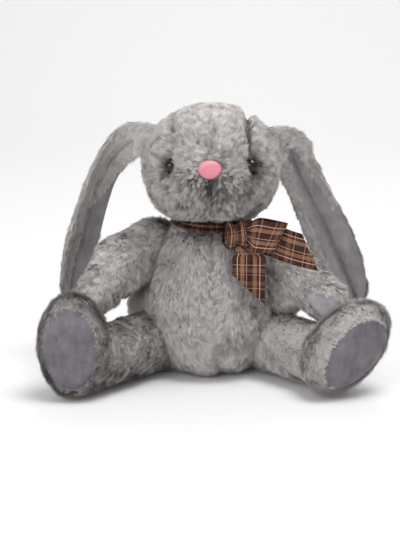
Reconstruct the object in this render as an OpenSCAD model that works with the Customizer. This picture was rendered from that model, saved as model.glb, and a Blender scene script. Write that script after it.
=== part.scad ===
// Seated plush rabbit with long lop ears, stitched fabric skins over loose stuffing,
// safety eyes and nose, velboa foot soles and a plaid ribbon tied at the neck.
// +Z is up, the face looks along -Y, and the origin is the middle of the flat seat.

/* [Body] */
// Widest radius of the seated body
body_r = 52; // [48:1:54]
// Height at which the body is widest
body_widest_z = 47; // [44:1:50]
// Height of the shoulders, where the ribbon sits
shoulder_z = 112.5; // [112:0.5:113]
// Radius of the flat seat
seat_r = 26; // [22:1:28]
// Thickness of the plush fabric with its pile
skin_t = 3; // [2.5:0.5:3.5]

/* [Head] */
// Width of the head across the cheeks
head_w = 107; // [104:1:108]
// Depth of the head from face to back
head_d = 100; // [96:1:102]
// Height of the head before its neck opening is cut
head_h = 94; // [92:1:95]
// Height of the head's middle
head_z = 165.5; // [165:0.5:167]
// Diameter of the safety eyes
eye_d = 12; // [10:0.5:13]
// Width of the nose
nose_w = 19; // [17:0.5:20]

/* [Ears] */
// Width of an ear at its widest
ear_w = 45; // [38:1:46]
// Thickness of an ear, fur back and lining together
ear_t = 9; // [7:0.5:9]

/* [Limbs] */
// Radius of an arm at the shoulder
arm_r = 17; // [15:0.5:17]
// Radius of an arm at the hand
hand_r = 16.5; // [14:0.5:16.5]
// Radius of a leg
leg_r = 23.5; // [21:0.5:23.5]
// Width of a foot
foot_w = 55; // [51:1:57]
// Length of a foot
foot_l = 82; // [76:1:82]
// Width of a velboa sole
sole_w = 42; // [38:1:44]
// Length of a velboa sole
sole_l = 64; // [58:1:66]

/* [Ribbon] */
// Width of the satin ribbon
ribbon_w = 25; // [20:1:25]
// Thickness of the ribbon, with its stiff edges
ribbon_t = 1.2; // [1:0.1:1.5]

/* [Hidden] */
$fn = 64;

fur_grey = [0.58, 0.565, 0.55];
velboa_grey = [0.46, 0.45, 0.49];
stuffing_white = [0.93, 0.93, 0.91];
plaid_brown = [0.30, 0.17, 0.14];

// Clearances, all measured between solids of different bodies.
gap = 0.6;

// Neck: a flat stub on the body, and a domed plug that turns on it.
neck_r = 25.5;
neck_top = 115;
neck_pivot_z = 120;
plug_r = 17.5;
plug_gap = 0.3;
band_t = 2.4;
band_h = 9;
head_y = -5;
head_cut_z = 127;

// Each arm: [shoulder ball, hand ball, way the paw pad faces]. The right one is given as its mirror image.
arm_left = [[42.5, 2, 101.5], [88, -35, 70], [-0.10, -0.97, -0.10]];
arm_right = [[44, 2, 105], [90, -36, 67.2], [-0.60, -0.10, -0.79]];
hip = [40, -4, 25.5];
upper_body_h = 89;
socket_flare = 13;

// Each foot: [middle of the foot, direction of the sole, direction of the toes].
foot_left = [[100, -77, 38.5], [0.40, -0.90, -0.17], [0.62, 0.15, 0.77]];
foot_right = [[-102, -82, 41.2], [-0.12, -0.99, 0], [0, 0, 1]];
foot_depth = 60;
foot_size = [foot_w, foot_depth, foot_l];
sole_depth = 15;
sole_t = 2.5;

// Width and length of the paw pads.
pad_size = [21, 29];

// Eyes, nose and the washers that hold them.
eye_x = 29.5;
face_z = 169;
nose_rise = 1.5;
nose_drop = 4;
nose_dome = 2.6;
shank_r = 2;
shank_l = 10;
washer_t = 1.6;
washer_seat = 3.9;

// Ear stations from root to tip: [point, share of the full width, direction of the outer edge].
ear_left_stations = [
    [[54, 2, 182], 0.34, [-0.38, -0.30, 0.87]],
    [[66, 6, 177], 0.52, [0.20, -0.30, 0.93]],
    [[69, 10, 158], 0.80, [0.70, -0.25, 0.50]],
    [[78, 16, 135], 0.84, [0.93, -0.22, 0.25]],
    [[91, 21, 108], 0.92, [0.93, -0.22, 0.25]],
    [[102, 24, 82], 0.92, [0.94, -0.22, 0.22]],
    [[112, 25, 60], 0.74, [0.95, -0.22, 0.15]],
    [[118, 24, 44], 0.30, [0.95, -0.22, 0.15]]
];
ear_right_stations = [
    [[-54, 2, 183], 0.34, [0.38, -0.30, 0.87]],
    [[-62, 5, 180], 0.62, [-0.10, -0.40, 0.90]],
    [[-75, 10, 168], 0.80, [-0.50, -0.60, 0.45]],
    [[-87, 16, 146], 0.94, [-0.55, -0.80, 0.10]],
    [[-96, 21, 120], 1.00, [-0.58, -0.81, 0]],
    [[-103, 24, 94], 1.00, [-0.60, -0.80, 0]],
    [[-109, 25, 68], 0.80, [-0.62, -0.78, 0]],
    [[-112, 24, 46], 0.30, [-0.62, -0.78, 0]]
];
ear_steps = 3;
ear_sides = 8;
lining_share = 0.4;

// Ribbon bow.
knot_at = [17, -41, 116];
knot_size = [13, 10, 13];
loop_l = 28;
loop_t = 7;
front_tail_at = [28, -51.5, 105.3];
front_tail_short = 18;
front_tail_long = 41;
side_tail_at = [28.5, -39, 116];
side_tail_drop = 9.5;
side_tail_turn = -13;
side_tail_short = 39;
side_tail_long = 58;

// Sealed weighting bag and the tail.
bag_size = [22, 44, 24];
bag_at = [0, 6, 17];
tail_r = 17;
tail_at = [0, 56, 36];

function unit(v) = v / norm(v);

// Half height of the body's lower egg, which its flat seat cuts.
lower_body_h = body_widest_z / sqrt(1 - pow(seat_r / body_r, 2));

// A tapered limb's half outline, with a round end about each of its two centres.
function limb_outline(r1, r2, length, steps = 10) = [
    for (i = [0 : steps]) [r1 * sin(90 * i / steps), -r1 * cos(90 * i / steps)],
    for (i = [0 : steps]) [r2 * cos(90 * i / steps), length + r2 * sin(90 * i / steps)]
];

// Turns the Z axis to a direction, and a whole frame to a pair of directions.
module along(direction) {
    d = unit(direction);
    rotate([0, acos(d[2]), atan2(d[1], d[0])])
        children();
}

module framed(origin, front, up) {
    f = -unit(front);
    u = unit(up - f * (up * f));
    s = cross(f, u);
    multmatrix([
        [s[0], f[0], u[0], origin[0]],
        [s[1], f[1], u[1], origin[1]],
        [s[2], f[2], u[2], origin[2]],
        [0, 0, 0, 1]
    ])
        children();
}

// An upright prism with an oval outline of many short sides.
module oval_prism(size, height, sides = 60) {
    linear_extrude(height)
        polygon([for (i = [1 : sides]) [size[0] * cos(360 * i / sides), size[1] * sin(360 * i / sides)] / 2]);
}

module mirrored_to(side) {
    if (side > 0)
        children();
    else
        mirror([1, 0, 0])
            children();
}

// ---- Body ----

// The part of an upright egg half between two heights.
module egg_part(r, half_h, low, high) {
    intersection() {
        translate([0, 0, body_widest_z])
            scale([r, r, half_h])
                sphere(r = 1);
        translate([0, 0, low])
            cylinder(r = 2 * body_r, h = high - low);
    }
}

module body_form(inset) {
    egg_part(body_r - inset, lower_body_h - inset, inset, body_widest_z);
    egg_part(body_r - inset, upper_body_h - inset, body_widest_z, shoulder_z - inset);
    translate([0, 0, body_widest_z])
        cylinder(r = neck_r - inset, h = neck_top - inset - body_widest_z);
}

module limb(from, to, r1, r2) {
    translate(from)
        along(to - from)
            rotate_extrude()
                polygon(limb_outline(r1, r2, norm(to - from)));
}

// Room in the body for a limb's root, flared so that the limb can swing.
module limb_socket(from, to, r, flare) {
    back = r + gap;
    reach = 70;
    translate(from)
        along(to - from)
            translate([0, 0, -back])
                cylinder(r1 = back, r2 = back + (back + reach) * tan(flare), h = back + reach);
}

module limb_sockets() {
    for (side = [1, -1])
        mirrored_to(side)
            limb_socket(arm(side)[0], arm(side)[1], arm_r, 2);
    limb_socket(hip, level(foot_left[0]), leg_r, socket_flare);
    limb_socket(mirror_x(hip), level(foot_right[0]), leg_r, socket_flare);
}

function arm(side) = side > 0 ? arm_left : arm_right;
function mirror_x(p) = [-p[0], p[1], p[2]];
function level(p) = [p[0], p[1], hip[2]];

module body_skin() {
    color(fur_grey)
        difference() {
            body_form(0);
            body_form(skin_t);
            limb_sockets();
        }
}

module bag_form() {
    translate(bag_at)
        resize_ball(bag_size);
}

module resize_ball(size) {
    scale(size / 2)
        sphere(r = 1);
}

module body_stuffing() {
    color(stuffing_white)
        difference() {
            body_form(skin_t);
            bag_form();
            limb_sockets();
        }
}

module pellet_bag() {
    color("tan")
        bag_form();
}

module tail() {
    color(fur_grey)
        difference() {
            translate(tail_at)
                rotate([90, 0, 0])
                    sphere(r = tail_r);
            translate([-body_r, -body_r, 0])
                cube(2 * body_r);
        }
}

// ---- Neck ----

module neck_ball(r) {
    translate([0, 0, neck_pivot_z])
        sphere(r = r);
}

module neck_plug() {
    color(stuffing_white)
        difference() {
            neck_ball(plug_r);
            cylinder(r = 2 * plug_r, h = neck_top + plug_gap);
        }
}

// ---- Head ----

module head_form(inset) {
    size = [head_w, head_d, head_h] - 2 * inset * [1, 1, 1];
    difference() {
        translate([0, head_y, head_z])
            resize_ball(size);
        cylinder(r = head_w, h = head_cut_z + inset);
    }
}

// The point of the head's surface at a given side position and height, and its outward normal.
function face_point(x, z) = [
    x,
    head_y - head_d / 2 * sqrt(1 - pow(2 * x / head_w, 2) - pow(2 * (z - head_z) / head_h, 2)),
    z
];
function face_normal(p) = unit([
    p[0] / pow(head_w, 2),
    (p[1] - head_y) / pow(head_d, 2),
    (p[2] - head_z) / pow(head_h, 2)
]);

module on_face(x) {
    p = face_point(x, face_z);
    translate(p)
        along(face_normal(p))
            children();
}

module shank() {
    translate([0, 0, -shank_l])
        cylinder(r = shank_r, h = shank_l + 1);
}

module washer(r) {
    translate([0, 0, -washer_seat - washer_t])
        difference() {
            cylinder(r = r, h = washer_t);
            translate([0, 0, -1])
                cylinder(r = shank_r, h = washer_t + 2);
        }
}

module fastener_pockets() {
    for (x = [-eye_x, 0, eye_x])
        on_face(x)
            translate([0, 0, -shank_l - 1])
                cylinder(r = 9, h = shank_l);
}

module shanks() {
    for (x = [-eye_x, 0, eye_x])
        on_face(x)
            shank();
}

module head_skin() {
    color(fur_grey)
        difference() {
            head_form(0);
            head_form(skin_t);
            neck_ball(plug_r + gap);
            shanks();
        }
}

module head_stuffing() {
    color(stuffing_white)
        difference() {
            head_form(skin_t);
            neck_ball(plug_r + gap);
            fastener_pockets();
        }
}

module eye(side) {
    color("black")
        on_face(side * eye_x) {
            difference() {
                sphere(r = eye_d / 2);
                translate([0, 0, -eye_d])
                    cylinder(r = eye_d, h = eye_d + 0.4);
            }
            shank();
        }
}

module eye_washer(side) {
    color("white")
        on_face(side * eye_x)
            washer(6.5);
}

// A rounded triangle, wide end up, domed at the front and flat at the back.
module nose() {
    corner_r = nose_w * 0.29;
    color([0.88, 0.52, 0.58])
        translate(face_point(0, face_z)) {
            difference() {
                hull() {
                    for (side = [1, -1])
                        translate([side * (nose_w / 2 - corner_r), -1, nose_rise])
                            sphere(r = corner_r, $fn = 32);
                    translate([0, -1, nose_rise - nose_drop])
                        sphere(r = corner_r, $fn = 32);
                    translate([0, -nose_dome, 0])
                        sphere(r = corner_r, $fn = 32);
                }
                translate([-nose_w, -0.5, -nose_w])
                    cube(2 * nose_w);
            }
            along(face_normal(face_point(0, face_z)))
                shank();
        }
}

module nose_washer() {
    color("white")
        on_face(0)
            washer(8);
}

// ---- Ears ----

// A smooth value between stations b and c, which also leans on their neighbours a and d.
function eased(a, b, c, d, t) =
    0.5 * (2 * b + (c - a) * t + (2 * a - 5 * b + 4 * c - d) * t * t
        + (3 * b - a - 3 * c + d) * t * t * t);

function station(list, i) = list[max(0, min(len(list) - 1, i))];

function smoothed(list, k) = [
    for (i = [0 : len(list) - 2], j = [0 : ear_steps - 1])
        eased(station(list, i - 1)[k], list[i][k], list[i + 1][k], station(list, i + 2)[k],
            j / ear_steps),
    list[len(list) - 1][k]
];

// Rings of a curved strip with a half oval section: face is 1 for the lining side and -1 for the back.
function ear_rings(stations, face, thickness) =
    let (
        path = smoothed(stations, 0),
        share = smoothed(stations, 1),
        outer = smoothed(stations, 2),
        last = len(path) - 1
    )
    [
        for (i = [0 : last])
            let (
                run = unit(path[min(i + 1, last)] - path[max(i - 1, 0)]),
                across = unit(outer[i] - run * (outer[i] * run)),
                side = (path[0][0] > 0 ? 1 : -1) * cross(run, across),
                half = ear_w * share[i] / 2,
                round_end = min(1, 0.35 + share[i])
            )
            [
                for (k = [0 : ear_sides])
                    let (a = 180 * k / ear_sides)
                    path[i] + across * half * cos(a)
                        + side * face * thickness * round_end * sin(a)
            ]
    ];

// The flat side's quads are split from the high-numbered corner if turned is true.
module ear_strip(rings, turned) {
    count = len(rings);
    sides = len(rings[0]);
    points = [for (ring = rings) for (p = ring) p];
    walls = [
        for (i = [0 : count - 2], k = [0 : sides - 1])
            let (
                a = i * sides + k,
                b = i * sides + (k + 1) % sides,
                c = (i + 1) * sides + (k + 1) % sides,
                d = (i + 1) * sides + k
            )
            each turned && k == sides - 1 ? [[a, b, d], [b, c, d]] : [[a, b, c], [a, c, d]]
    ];
    root = [[for (k = [sides - 1 : -1 : 0]) k]];
    tip = [[for (k = [0 : sides - 1]) (count - 1) * sides + k]];
    polyhedron(points = points, faces = concat(walls, root, tip), convexity = 8);
}

function flipped(rings) = [for (ring = rings) [for (k = [len(ring) - 1 : -1 : 0]) ring[k]]];

module ear_back(stations) {
    rings = ear_rings(stations, -1, ear_t * (1 - lining_share));
    left = stations[0][0][0] > 0;
    color(fur_grey)
        ear_strip(left ? rings : flipped(rings), !left);
}

module ear_lining(stations) {
    rings = ear_rings(stations, 1, ear_t * lining_share);
    left = stations[0][0][0] > 0;
    color(velboa_grey)
        ear_strip(left ? flipped(rings) : rings, left);
}

// ---- Arms ----

// The arm's form, seen as the one on the +X side.
module arm_form(side, inset) {
    limb(arm(side)[0], arm(side)[1], arm_r - inset, hand_r - inset);
}

module pad_zone(side) {
    translate(arm(side)[1])
        along(arm(side)[2])
            oval_prism(pad_size, hand_r + 1);
}

module arm_skin(side) {
    color(fur_grey)
        mirrored_to(side)
            difference() {
                arm_form(side, 0);
                arm_form(side, skin_t);
                pad_zone(side);
            }
}

module arm_stuffing(side) {
    color(stuffing_white)
        mirrored_to(side)
            arm_form(side, skin_t);
}

module paw_pad(side) {
    color(velboa_grey)
        mirrored_to(side)
            difference() {
                intersection() {
                    arm_form(side, 0);
                    pad_zone(side);
                }
                arm_form(side, skin_t);
            }
}

// ---- Legs ----

// An oval ball cut flat for the sole, its poles at the sole and the ankle.
module foot_form(inset) {
    difference() {
        scale(foot_size / 2 - inset * [1, 1, 1])
            rotate([90, 0, 0])
                sphere(r = 1);
        translate([-foot_size[0], -foot_size[1] - sole_depth + inset, -foot_size[2]])
            cube([2 * foot_size[0], foot_size[1], 2 * foot_size[2]]);
    }
}

module leg_form(foot, inset) {
    side = foot[0][0] > 0 ? 1 : -1;
    start = side > 0 ? hip : mirror_x(hip);
    limb(start, start + 0.82 * (level(foot[0]) - start), leg_r - inset, leg_r - 1 - inset);
    framed(foot[0], foot[1], foot[2])
        foot_form(inset);
}

module sole_form(foot) {
    framed(foot[0], foot[1], foot[2])
        translate([0, -sole_depth, 0])
            rotate([-90, 0, 0])
                oval_prism([sole_w, sole_l], sole_t);
}

module leg_skin(foot) {
    color(fur_grey)
        difference() {
            leg_form(foot, 0);
            leg_form(foot, skin_t);
            sole_form(foot);
        }
}

module leg_stuffing(foot) {
    color(stuffing_white)
        leg_form(foot, skin_t);
}

module foot_sole(foot) {
    color(velboa_grey)
        sole_form(foot);
}

// ---- Ribbon ----

module neck_ribbon() {
    color(plaid_brown)
        translate([0, 0, shoulder_z])
            difference() {
                cylinder(r = neck_r + band_t, h = band_h);
                translate([0, 0, -1])
                    cylinder(r = neck_r, h = band_h + 2);
            }
}

module ribbon_knot() {
    color(plaid_brown)
        difference() {
            translate(knot_at)
                resize_ball(knot_size * 1.6);
            translate([0, 0, shoulder_z - 5])
                cylinder(r = neck_r + band_t, h = band_h + 10);
            body_form(-0.4);
        }
}

// One flattened loop of the bow, open at its outer end.
module ribbon_loop() {
    start = knot_at + [9, -3, 3];
    color(plaid_brown)
        translate(start)
            rotate([0, -4, -6])
                difference() {
                    translate([0, -loop_t, -ribbon_w / 2])
                        cube([loop_l, loop_t, ribbon_w]);
                    translate([3, -loop_t + ribbon_t, -ribbon_w / 2 - 1])
                        cube([loop_l - 3 - ribbon_t, loop_t - 2 * ribbon_t, ribbon_w + 2]);
                }
}

// A flat ribbon end with a slanted cut, running down from its own origin.
module ribbon_end(low_x_edge, high_x_edge) {
    translate([0, ribbon_t, 0])
        rotate([90, 0, 0])
            linear_extrude(ribbon_t)
                polygon([
                    [-ribbon_w / 2, 0],
                    [-ribbon_w / 2, -low_x_edge],
                    [ribbon_w / 2, -high_x_edge],
                    [ribbon_w / 2, 0]
                ]);
}

module ribbon_tail_front() {
    color(plaid_brown)
        translate(front_tail_at)
            rotate([2, 0, 0])
                ribbon_end(front_tail_short, front_tail_long);
}

module ribbon_tail_side() {
    color(plaid_brown)
        translate(side_tail_at)
            rotate([0, -90 + side_tail_drop, side_tail_turn])
                ribbon_end(side_tail_long, side_tail_short);
}

body_skin();
body_stuffing();
pellet_bag();
tail();
neck_plug();
neck_ribbon();
ribbon_knot();
ribbon_loop();
ribbon_tail_front();
ribbon_tail_side();
head_skin();
head_stuffing();
nose();
nose_washer();
eye(1);  // eye_left
eye(-1);  // eye_right
eye_washer(1);  // eye_washer_left
eye_washer(-1);  // eye_washer_right
ear_back(ear_left_stations);  // ear_back_left
ear_lining(ear_left_stations);  // ear_lining_left
ear_back(ear_right_stations);  // ear_back_right
ear_lining(ear_right_stations);  // ear_lining_right
arm_skin(1);  // arm_skin_left
arm_stuffing(1);  // arm_stuffing_left
paw_pad(1);  // paw_pad_left
arm_skin(-1);  // arm_skin_right
arm_stuffing(-1);  // arm_stuffing_right
paw_pad(-1);  // paw_pad_right
leg_skin(foot_left);  // leg_skin_left
leg_stuffing(foot_left);  // leg_stuffing_left
foot_sole(foot_left);  // foot_sole_left
leg_skin(foot_right);  // leg_skin_right
leg_stuffing(foot_right);  // leg_stuffing_right
foot_sole(foot_right);  // foot_sole_right
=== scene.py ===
import math

import bmesh
import bpy
import numpy as np
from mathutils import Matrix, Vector


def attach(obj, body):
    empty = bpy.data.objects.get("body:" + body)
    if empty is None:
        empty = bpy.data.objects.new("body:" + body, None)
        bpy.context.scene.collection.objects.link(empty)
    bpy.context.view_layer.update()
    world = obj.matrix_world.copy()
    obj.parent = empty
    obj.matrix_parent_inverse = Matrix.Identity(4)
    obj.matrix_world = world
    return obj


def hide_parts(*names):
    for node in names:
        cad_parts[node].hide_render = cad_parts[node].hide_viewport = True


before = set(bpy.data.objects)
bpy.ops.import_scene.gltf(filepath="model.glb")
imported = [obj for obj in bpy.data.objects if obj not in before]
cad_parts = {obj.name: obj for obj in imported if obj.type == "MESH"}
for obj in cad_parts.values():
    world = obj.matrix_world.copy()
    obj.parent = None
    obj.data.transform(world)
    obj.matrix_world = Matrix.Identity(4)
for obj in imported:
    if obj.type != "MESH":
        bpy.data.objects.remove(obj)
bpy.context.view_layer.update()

MM = 0.001
SIDE = {"left": 1, "right": -1}


# ---------------------------------------------------------------- small vector helpers

def vec(*v):
    return np.array(v, float)


def mirror(v, side):
    """v itself where side is 1, and its place on the other side where side is -1."""
    return np.asarray(v, float) * vec(side, 1, 1)


def unit(v):
    v = np.asarray(v, float)
    return v / np.maximum(np.linalg.norm(v, axis=-1, keepdims=True), 1e-12)


def ramp(x, a, b):
    """A smooth step from 0 at a to 1 at b."""
    t = np.clip((np.asarray(x, float) - a) / (b - a), 0, 1)
    return t * t * (3 - 2 * t)


def bump(x, centre, width):
    """A smooth ridge, 1 high at centre."""
    return np.exp(-((np.asarray(x, float) - centre) / width) ** 2)


def scatter(i, j, k, seed):
    """A repeatable random number from 0 to 1 for each whole-numbered cell."""
    n = (i * 73856093) ^ (j * 19349663) ^ (k * 83492791) ^ (seed * 2654435761)
    n = (n ^ (n >> 13)) * 1274126177
    n = n & 0x7FFFFFFF
    n = ((n ^ (n >> 11)) * 668265263) & 0x7FFFFFFF
    return (n & 0xFFFFFF) / float(0xFFFFFF)


def cloud(p, size, seed):
    """Smooth noise from 0 to 1 with features about size across."""
    q = np.asarray(p, float) / size
    g = np.floor(q).astype(np.int64)
    f = q - g
    f = f * f * (3 - 2 * f)
    total = 0
    for a in (0, 1):
        for b in (0, 1):
            for c in (0, 1):
                w = (
                    (f[:, 0] if a else 1 - f[:, 0])
                    * (f[:, 1] if b else 1 - f[:, 1])
                    * (f[:, 2] if c else 1 - f[:, 2])
                )
                total = total + w * scatter(g[:, 0] + a, g[:, 1] + b, g[:, 2] + c, seed)
    return total


# ---------------------------------------------------------------- soft forms

def ball_distance(p, centre, radii):
    """About how far p is outside an ellipsoid."""
    q = p - centre
    k0 = np.linalg.norm(q / radii, axis=1)
    k1 = np.linalg.norm(q / (np.asarray(radii) ** 2), axis=1)
    return np.where(k1 > 1e-12, k0 * (k0 - 1) / np.maximum(k1, 1e-12), -min(radii))


def limb_distance(p, a, b, ra, rb):
    """About how far p is outside a round limb from a to b, with radius ra at a and rb at b."""
    ab = b - a
    t = np.clip((p - a) @ ab / (ab @ ab), 0, 1)
    return np.linalg.norm(p - (a + t[:, None] * ab), axis=1) - (ra + (rb - ra) * t)


def join(a, b, k):
    """Two forms as one, with a fillet about k wide."""
    h = np.clip(0.5 + 0.5 * (b - a) / k, 0, 1)
    return b * (1 - h) + a * h - k * h * (1 - h)


def cut(a, b, k):
    """What two forms have in common, with an edge rounded by about k."""
    return -join(-a, -b, k)


def globe(level):
    """Evenly spread directions, and the triangles between them."""
    bm = bmesh.new()
    bmesh.ops.create_icosphere(bm, subdivisions=level, radius=1)
    verts = np.array([v.co[:] for v in bm.verts])
    faces = np.array([[v.index for v in f.verts] for f in bm.faces])
    bm.free()
    return unit(verts), faces


def wrapped(field, centre, reach, level=6):
    """The closed surface where field is nought, seen from centre."""
    rays, faces = globe(level)
    near, far = np.zeros(len(rays)), np.full(len(rays), reach)
    for _ in range(20):
        mid = (near + far) / 2
        out = field(centre + rays * mid[:, None]) > 0
        far = np.where(out, mid, far)
        near = np.where(out, near, mid)
    return centre + rays * near[:, None], faces


def vertex_normals(verts, faces):
    """Each vertex's outward direction, weighted by the faces' areas."""
    total = np.zeros_like(verts)
    for k in range(1, faces.shape[1] - 1):
        n = np.cross(
            verts[faces[:, k]] - verts[faces[:, 0]],
            verts[faces[:, k + 1]] - verts[faces[:, 0]],
        )
        for c in (0, k, k + 1):
            np.add.at(total, faces[:, c], n)
    return unit(total)


def relaxed(verts, faces, rounds):
    """Verts drawn halfway to the mean of their neighbours, rounds times over."""
    corners = faces.shape[1]
    sides = np.concatenate([faces[:, [i, (i + 1) % corners]] for i in range(corners)])
    edges = np.unique(np.sort(sides, axis=1), axis=0)
    for _ in range(rounds):
        total, count = np.zeros_like(verts), np.zeros(len(verts))
        for a, b in ((0, 1), (1, 0)):
            np.add.at(total, edges[:, a], verts[edges[:, b]])
            np.add.at(count, edges[:, a], 1)
        verts = verts * 0.5 + 0.5 * total / count[:, None]
    return verts


def new_mesh(name, verts, faces, material):
    """A smooth mesh object from arrays; faces may mix triangles, quads and caps."""
    me = bpy.data.meshes.new(name)
    lengths = np.array([len(f) for f in faces])
    loops = np.concatenate(faces)
    me.vertices.add(len(verts))
    me.vertices.foreach_set("co", np.ascontiguousarray(verts, np.float32).ravel())
    me.loops.add(len(loops))
    me.loops.foreach_set("vertex_index", loops.astype(np.int32))
    me.polygons.add(len(lengths))
    starts = np.concatenate([[0], np.cumsum(lengths)[:-1]])
    me.polygons.foreach_set("loop_start", starts.astype(np.int32))
    me.materials.append(material)
    me.polygons.foreach_set("use_smooth", np.ones(len(lengths), bool))
    me.update(calc_edges=True)
    ob = bpy.data.objects.new(name, me)
    bpy.context.scene.collection.objects.link(ob)
    return ob


# ---------------------------------------------------------------- materials

def srgb(r, g, b):
    def one(c):
        c = c / 255
        return c / 12.92 if c <= 0.04045 else ((c + 0.055) / 1.055) ** 2.4
    return (one(r), one(g), one(b), 1.0)


def plain(name, colour, rough=0.85, sheen=0.0, spec=0.2):
    m = bpy.data.materials.new(name)
    m.use_nodes = True
    s = m.node_tree.nodes["Principled BSDF"]
    s.inputs["Base Color"].default_value = colour
    s.inputs["Roughness"].default_value = rough
    s.inputs["Specular IOR Level"].default_value = spec
    s.inputs["Sheen Weight"].default_value = sheen
    s.inputs["Sheen Roughness"].default_value = 0.5
    return m


class Nodes:
    """A short way to write a node tree around the Principled shader."""

    def __init__(self, name, rough=0.8, spec=0.2, sheen=0.0):
        self.m = bpy.data.materials.new(name)
        self.m.use_nodes = True
        self.t = self.m.node_tree
        self.s = self.t.nodes["Principled BSDF"]
        self.s.inputs["Roughness"].default_value = rough
        self.s.inputs["Specular IOR Level"].default_value = spec
        self.s.inputs["Sheen Weight"].default_value = sheen
        self.s.inputs["Sheen Roughness"].default_value = 0.4

    def add(self, kind):
        return self.t.nodes.new(kind)

    def link(self, a, b):
        self.t.links.new(a, b)

    def place(self):
        return self.add("ShaderNodeTexCoord").outputs["Object"]

    def noise(self, where, scale, detail=3.0, rough=0.55, stretch=None):
        n = self.add("ShaderNodeTexNoise")
        n.inputs["Scale"].default_value = scale
        n.inputs["Detail"].default_value = detail
        n.inputs["Roughness"].default_value = rough
        if stretch:
            mp = self.add("ShaderNodeMapping")
            mp.inputs["Scale"].default_value = stretch
            self.link(where, mp.inputs["Vector"])
            where = mp.outputs["Vector"]
        self.link(where, n.inputs["Vector"])
        return n.outputs["Fac"]

    def ramp(self, value, stops, mode="LINEAR"):
        r = self.add("ShaderNodeValToRGB")
        r.color_ramp.interpolation = mode
        e = r.color_ramp.elements
        while len(e) < len(stops):
            e.new(0.5)
        for el, (pos, col) in zip(e, stops):
            el.position = pos
            el.color = col
        self.link(value, r.inputs["Fac"])
        return r.outputs["Color"]

    def mix(self, fac, a, b):
        n = self.add("ShaderNodeMix")
        n.data_type = "RGBA"
        if isinstance(fac, float):
            n.inputs[0].default_value = fac
        else:
            self.link(fac, n.inputs[0])
        for v, sock in ((a, n.inputs[6]), (b, n.inputs[7])):
            if isinstance(v, tuple):
                sock.default_value = v
            else:
                self.link(v, sock)
        return n.outputs[2]

    def math(self, kind, a, b=0.0, c=0.0):
        n = self.add("ShaderNodeMath")
        n.operation = kind
        for v, sock in zip((a, b, c), n.inputs):
            if isinstance(v, (int, float)):
                sock.default_value = v
            else:
                self.link(v, sock)
        return n.outputs[0]

    def colour(self, out):
        self.link(out, self.s.inputs["Base Color"])

    def relief(self, height, strength, distance):
        b = self.add("ShaderNodeBump")
        b.inputs["Strength"].default_value = strength
        b.inputs["Distance"].default_value = distance
        self.link(height, b.inputs["Height"])
        self.link(b.outputs["Normal"], self.s.inputs["Normal"])


def grey(v):
    """The plush's warm grey."""
    return srgb(v + 4, v, v - 1.5)


# The fibres' four tones, from deep to frosted: each has a root and a paler tip. The deep tone serves mostly as
# painted shade, picked where painted shade pushes the tone down in crevices, eye sockets and seams.
FUR_ROOTS = [
    plain("fur_root_" + tone, grey(v), 0.9)
    for tone, v in (("deep", 84), ("dark", 140), ("mid", 160), ("light", 176))
]
FUR_TIPS = [
    plain("fur_tip_" + tone, grey(v), rough, sheen)
    for tone, v, rough, sheen in (
        ("deep", 112, 0.9, 0.0), ("dark", 160, 0.85, 0.05), ("mid", 186, 0.85, 0.05), ("frost", 208, 0.8, 0.08),
    )
]


def make_backing():
    """Short underfur on the knitted backing of the plush."""
    n = Nodes("plush_backing", 0.95, 0.1, 0.2)
    w = n.place()
    pile = n.noise(w, 420, 3)
    patches = n.noise(w, 60, 2)
    fine = n.ramp(pile, [(0.3, grey(130)), (0.7, grey(160))])
    broad = n.ramp(patches, [(0.3, grey(134)), (0.7, grey(156))])
    n.colour(n.mix(0.4, fine, broad))
    n.relief(pile, 0.8, 0.0012)
    return n.m


def make_velboa(name, dark, light, nap):
    """Short brushed nap: mottled broad patches, fine nap grain, and pressed streaks."""
    n = Nodes(name, 0.78, 0.25, 0.35)
    w = n.place()
    broad = n.noise(w, 70, 4, 0.6)
    streak = n.noise(w, 260, 4, 0.6, nap)
    grain = n.noise(w, 1500, 2, 0.7)
    patches = n.ramp(broad, [(0.35, dark), (0.65, light)])
    streaks = n.ramp(streak, [(0.3, dark), (0.7, light)])
    c = n.mix(0.45, patches, streaks)
    n.colour(n.mix(0.28, c, n.ramp(grain, [(0.3, dark), (0.7, light)])))
    n.relief(n.math("MULTIPLY_ADD", grain, 0.5, streak), 0.6, 0.0008)
    return n.m


def make_plaid():
    """Satin plaid from the ribbon's own map: u runs across its width, v along it in ribbon widths."""
    n = Nodes("plaid_satin", 0.55, 0.12)
    uv = n.add("ShaderNodeUVMap")
    uv.uv_map = "weave"
    sep = n.add("ShaderNodeSeparateXYZ")
    n.link(uv.outputs["UV"], sep.inputs[0])
    dark, deep = srgb(46, 16, 17), srgb(32, 12, 13)
    cream, tan, wine = srgb(206, 170, 142), srgb(140, 102, 78), srgb(58, 20, 20)
    stops = [
        (0.0, dark), (0.14, cream), (0.165, wine), (0.24, tan), (0.36, deep), (0.42, cream), (0.437, wine),
        (0.48, deep), (0.62, tan), (0.74, wine), (0.82, cream), (0.845, dark),
    ]
    across = n.ramp(sep.outputs[0], stops, "CONSTANT")
    along = n.ramp(n.math("FRACT", n.math("MULTIPLY_ADD", sep.outputs[1], 0.92, 0.27)), stops, "CONSTANT")
    weave = n.add("ShaderNodeTexWave")
    weave.wave_type, weave.bands_direction = "BANDS", "DIAGONAL"
    weave.inputs["Scale"].default_value = 26
    weave.inputs["Distortion"].default_value = 0.0
    n.link(uv.outputs["UV"], weave.inputs["Vector"])
    half = n.math("MULTIPLY_ADD", weave.outputs["Fac"], 0.34, 0.12)
    c = n.mix(half, across, along)
    mottle = n.noise(n.place(), 260, 3)
    c = n.mix(0.07, c, n.ramp(mottle, [(0.3, srgb(40, 24, 24)), (0.7, srgb(190, 160, 140))]))
    n.colour(c)
    n.relief(weave.outputs["Fac"], 0.25, 0.0002)
    n.s.inputs["Anisotropic"].default_value = 0.4
    return n.m


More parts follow.
